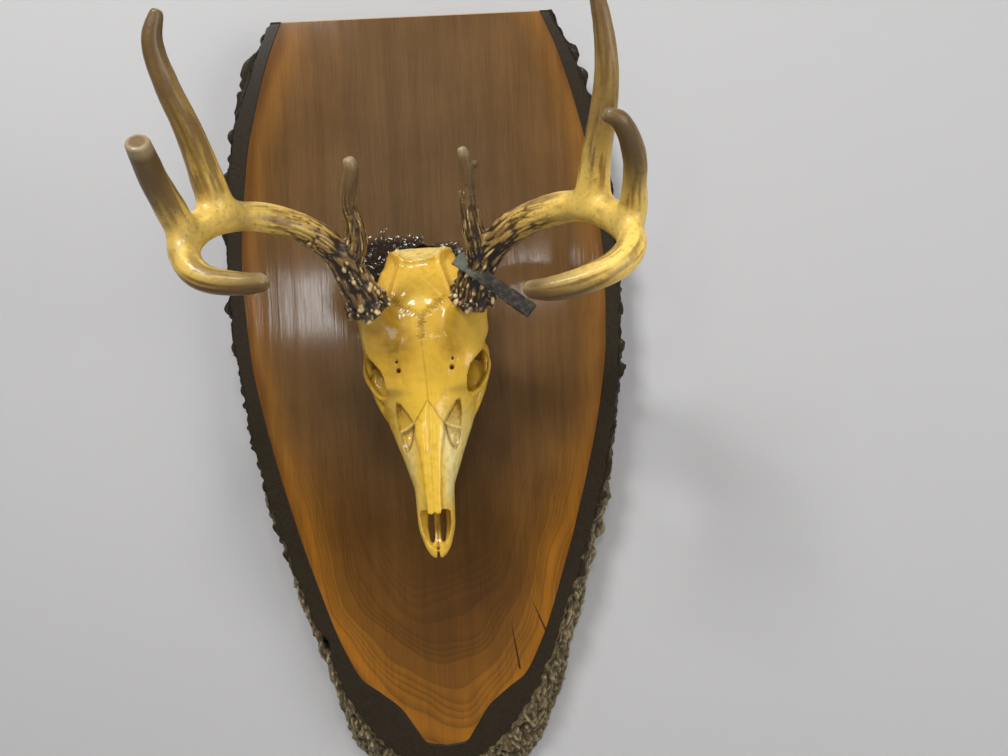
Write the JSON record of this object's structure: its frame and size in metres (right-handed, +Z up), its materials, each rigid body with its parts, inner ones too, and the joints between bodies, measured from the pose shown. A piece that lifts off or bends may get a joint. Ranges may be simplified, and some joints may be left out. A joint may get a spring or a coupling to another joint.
{
  "type": "deer skull mount",
  "caption": "Cleaned and varnished skull of a white-tailed buck with its antlers, set on a tall live-edge wooden board with bark, to hang on a wall.",
  "frame": {"origin": "on the flat back of the board, on its middle line, 385 mm under its flat top", "axes": "+Z up along the board; +Y into the wall, out of the board's back; +X to the viewer's right"},
  "size_m": [0.3861, 0.3391, 0.8038],
  "materials": {
    "bone": "amber varnish over cleaned bone",
    "antler": "satin, dark brown in the gutters",
    "wood": "thick clear gloss varnish",
    "bark": "rough, varnished where it is cut",
    "iron": "dark, hammered",
    "zinc": "zinc plated"
  },
  "bodies": {
    "root": {"antler_left_base": "antler", "antler_left_brow_tine": "antler", "antler_left_middle": "antler", "antler_left_second_tine": "antler", "antler_left_third_tine": "antler", "antler_left_tip": "antler", "antler_right_base": "antler", "antler_right_brow_tine": "antler", "antler_right_middle": "antler", "antler_right_second_tine": "antler", "antler_right_third_tine": "antler", "antler_right_tip": "antler", "bark_bottom": "bark", "bark_left": "bark", "bark_right": "bark", "board": "wood", "braincase": "bone", "cheekbone_left": "bone", "cheekbone_right": "bone", "frontal_left": "bone", "frontal_right": "bone", "hanger_plate": "zinc", "iron_bar": "iron", "nasal_left": "bone", "nasal_right": "bone", "premaxilla_left": "bone", "premaxilla_right": "bone", "upper_jaw_left": "bone", "upper_jaw_right": "bone"}
  },
  "joints": []
}
